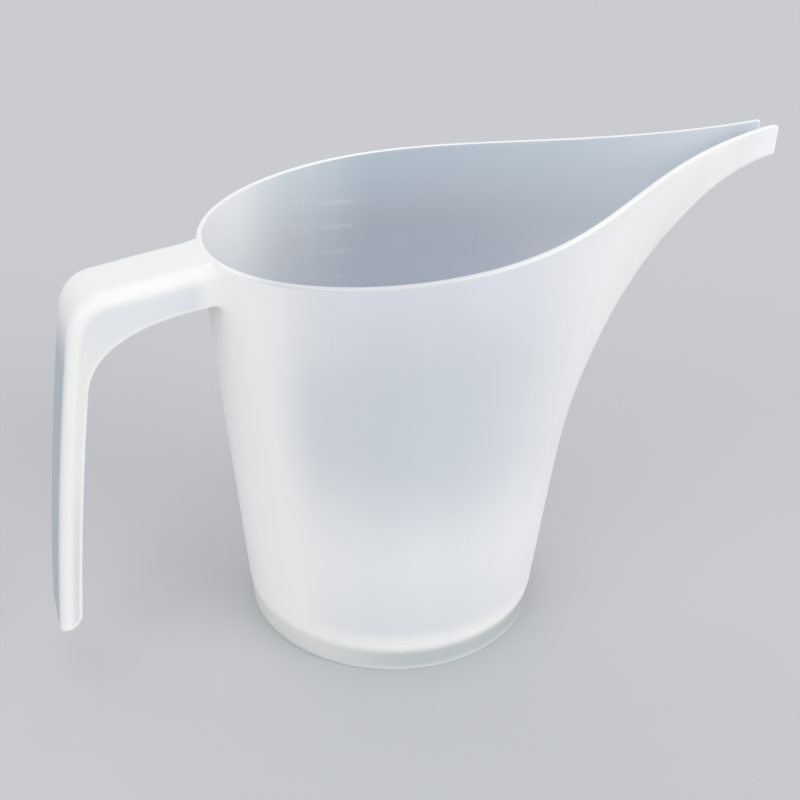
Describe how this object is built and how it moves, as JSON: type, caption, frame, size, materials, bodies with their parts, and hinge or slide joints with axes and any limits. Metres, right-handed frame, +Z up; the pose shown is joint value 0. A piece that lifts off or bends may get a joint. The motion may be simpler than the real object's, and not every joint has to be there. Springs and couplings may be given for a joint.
{
  "type": "long-spout measuring pitcher",
  "caption": "Frosted plastic pitcher with a tapered cup, a long open trough spout, a raised volume scale and an open-ended channel handle, for measuring and pouring milk or other liquids.",
  "frame": {"origin": "on the surface it stands on, midway between the spout's tip and the grip's outer end; the cup's axis is 10.9 mm towards the handle", "axes": "+Z up, +X from the handle towards the spout, +Y towards the wall that carries the volume scale"},
  "size_m": [0.2478, 0.1222, 0.1542],
  "materials": {
    "frosted_wall": "satin frosted translucent polypropylene",
    "frosted_foot": "satin frosted translucent polypropylene, darker where nothing stands behind it",
    "frosted_handle": "satin frosted translucent polypropylene"
  },
  "bodies": {
    "root": {"cup_wall": "frosted_wall", "pouring_spout": "frosted_wall", "cup_floor": "frosted_wall", "foot_ring": "frosted_foot", "handle_web": "frosted_handle", "handle_flange_near": "frosted_handle", "handle_flange_far": "frosted_handle"}
  },
  "joints": []
}
